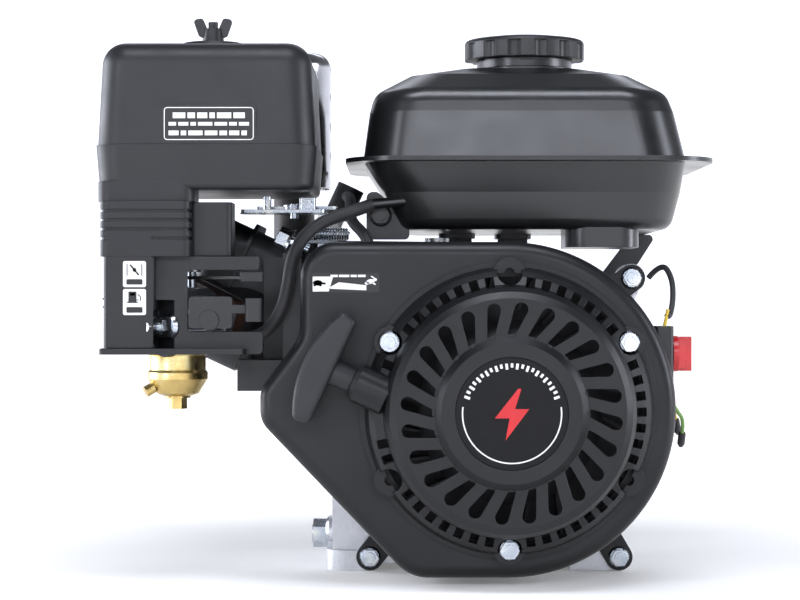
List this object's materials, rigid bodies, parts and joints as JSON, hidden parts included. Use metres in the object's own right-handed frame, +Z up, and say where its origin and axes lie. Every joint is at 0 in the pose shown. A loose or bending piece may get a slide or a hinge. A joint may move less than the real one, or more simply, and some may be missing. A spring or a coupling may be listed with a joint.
{
  "type": "small gasoline engine",
  "caption": "Single-cylinder air-cooled petrol engine with a horizontal output shaft, recoil starter, top fuel tank, side air filter and silencer.",
  "frame": {"origin": "centre of the base bolt pattern on the mounting face", "axes": "+Z up, +Y along the output shaft as it leaves the engine, +X to the right seen from the recoil starter"},
  "size_m": [0.38, 0.317, 0.3483],
  "materials": {
    "cast_aluminium": "cast, matt",
    "machined_aluminium": "machined",
    "black_paint": "satin black",
    "black_gloss_paint": "gloss black",
    "black_plastic": "moulded, fine grain",
    "zinc_steel": "bright zinc plate",
    "yellow_zinc": "yellow passivated zinc",
    "chrome_guard": "bright chrome",
    "cast_iron": "cast",
    "ground_steel": "ground",
    "rubber_black": "matt",
    "red_plastic": "moulded red",
    "phenolic": "brown laminate",
    "filter_foam": "open-cell foam",
    "gasket_fibre": "pressed fibre",
    "rope_fibre": "braided nylon",
    "badge": "printed label",
    "dark_steel": "dark heat-resistant coat",
    "white_ceramic": "glazed"
  },
  "bodies": {
    "engine": {"crankcase": "cast_aluminium", "crankcase_cover": "cast_aluminium", "gaskets": "gasket_fibre", "case_bolts": "zinc_steel", "bearings_and_seals": "ground_steel", "cylinder_head": "cast_aluminium", "head_bolts": "zinc_steel", "rocker_cover": "black_paint", "valves": "ground_steel", "rocker_gear": "ground_steel", "spark_plug": "white_ceramic", "ignition_coil": "rubber_black", "piston": "machined_aluminium", "wrist_pin": "ground_steel", "connecting_rod": "machined_aluminium", "fan_housing": "black_paint", "cylinder_shroud": "black_paint", "recoil_case": "black_plastic", "flange_bolts": "zinc_steel", "recoil_badge": "badge", "rope_guide": "black_plastic", "rope_lead": "rope_fibre", "tank_upper": "black_gloss_paint", "tank_lower": "black_gloss_paint", "tank_brackets": "dark_steel", "fuel_hose": "rubber_black", "insulator": "phenolic", "intake_studs": "zinc_steel", "carburetor": "machined_aluminium", "float_bowl": "yellow_zinc", "bowl_bolt": "yellow_zinc", "intake_elbow": "black_plastic", "air_filter_base": "black_plastic", "filter_element": "filter_foam", "muffler": "dark_steel", "muffler_guard": "chrome_guard", "exhaust_fasteners": "zinc_steel", "control_plate": "zinc_steel", "governor_spring": "zinc_steel", "switch_box": "black_plastic", "wiring": "rubber_black"},
    "crank": {"crankshaft": "ground_steel", "rod_big_end": "machined_aluminium", "flywheel": "cast_iron", "cooling_fan": "black_plastic", "starter_cup": "zinc_steel"},
    "cam": {"camshaft": "ground_steel"},
    "reel": {"starter_reel": "black_plastic", "rope_coil": "rope_fibre"},
    "handle": {"starter_handle": "black_plastic"},
    "fuel_cap": {"fuel_cap": "black_plastic"},
    "filter_cover": {"air_filter_cover": "black_plastic"},
    "wing_nut": {"wing_nut": "black_plastic"},
    "choke": {"choke_lever": "black_plastic"},
    "throttle": {"throttle_shaft": "zinc_steel"},
    "fuel_lever": {"fuel_lever": "black_plastic"},
    "governor": {"governor_arm": "zinc_steel"},
    "control_lever": {"throttle_lever": "zinc_steel"},
    "stop_knob": {"switch_knob": "red_plastic"},
    "dipstick": {"oil_dipstick": "black_plastic"}
  },
  "joints": [
    {"name": "crank_spin", "type": "hinge", "parent": "engine", "child": "crank", "pos_m": [0.019, 0, 0.106], "axis": [0, 1, 0], "continuous": true},
    {"name": "cam_spin", "type": "hinge", "parent": "engine", "child": "cam", "pos_m": [-0.03758, 0, 0.08604], "axis": [0, 1, 0], "continuous": true},
    {"name": "reel_spin", "type": "hinge", "parent": "engine", "child": "reel", "pos_m": [0.019, -0.15, 0.106], "axis": [0, 1, 0], "range_deg": [0, 950]},
    {"name": "handle_pull", "type": "slide", "parent": "engine", "child": "handle", "axis": [-0.9063, 0, 0.4226], "range_m": [0, 0.7], "deforming": ["rope_lead"]},
    {"name": "fuel_cap_turn", "type": "hinge", "parent": "engine", "child": "fuel_cap", "pos_m": [0.0355, -0.004, 0.334], "axis": [0, 0, 1], "range_deg": [0, 90]},
    {"name": "filter_cover_lift", "type": "slide", "parent": "engine", "child": "filter_cover", "axis": [0, 0, 1], "range_m": [0, 0.09]},
    {"name": "wing_nut_turn", "type": "hinge", "parent": "filter_cover", "child": "wing_nut", "pos_m": [-0.163, -0.066, 0.34], "axis": [0, 0, 1], "continuous": true},
    {"name": "choke_turn", "type": "hinge", "parent": "engine", "child": "choke", "pos_m": [-0.19007, -0.09643, 0.165], "axis": [0, 0, 1], "range_deg": [0, 38]},
    {"name": "governor_turn", "type": "hinge", "parent": "engine", "child": "governor", "pos_m": [-0.022, -0.02, 0.19], "axis": [0, 0, 1], "range_deg": [0, 8]},
    {"name": "throttle_turn", "type": "hinge", "parent": "engine", "child": "throttle", "pos_m": [-0.17529, -0.07881, 0.165], "axis": [0, 0, 1], "range_deg": [0, 24]},
    {"name": "fuel_lever_turn", "type": "hinge", "parent": "engine", "child": "fuel_lever", "pos_m": [-0.16, -0.124, 0.16], "axis": [0, 1, 0], "range_deg": [0, 30]},
    {"name": "control_lever_turn", "type": "hinge", "parent": "engine", "child": "control_lever", "pos_m": [-0.112, -0.068, 0.228], "axis": [0, 0, 1], "range_deg": [0, 24]},
    {"name": "stop_knob_turn", "type": "hinge", "parent": "engine", "child": "stop_knob", "pos_m": [0.121, -0.092, 0.139], "axis": [1, 0, 0], "range_deg": [0, 60]},
    {"name": "dipstick_turn", "type": "hinge", "parent": "engine", "child": "dipstick", "pos_m": [0.064, 0.08, 0.047], "axis": [0, 1, 0], "range_deg": [0, 360]}
  ],
  "couplings": [
    {"joint": "cam_spin", "follows": "crank_spin", "ratio": -0.5},
    {"joint": "handle_pull", "follows": "reel_spin", "m_per_rad": 0.042},
    {"joint": "throttle_turn", "follows": "governor_turn", "ratio": 3}
  ]
}
